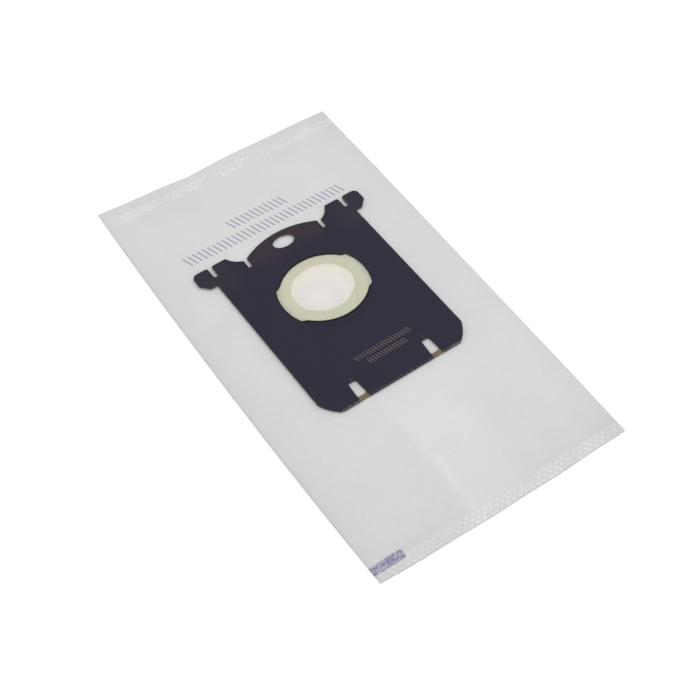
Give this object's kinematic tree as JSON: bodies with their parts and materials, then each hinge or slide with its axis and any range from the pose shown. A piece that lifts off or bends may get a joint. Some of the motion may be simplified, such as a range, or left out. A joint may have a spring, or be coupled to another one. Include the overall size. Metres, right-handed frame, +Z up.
{
  "type": "vacuum dust bag",
  "caption": "Flat welded fleece dust bag with a folded board collar, an elastic sealing membrane and a round inlet.",
  "frame": {"origin": "middle of the bag's footprint on the table", "axes": "+X across the bag, +Y along it towards the end that the collar's ears face, +Z up out of the collar"},
  "size_m": [0.16, 0.29, 0.008],
  "materials": {
    "fleece": "matt synthetic non-woven fleece, off-white",
    "board": "dark navy printed board, satin, brown at raw edges",
    "elastic_film": "pale yellow elastic film, satin"
  },
  "bodies": {
    "root": {"filter_bag": "fleece", "collar_board": "board", "seal_membrane": "elastic_film"}
  },
  "joints": []
}
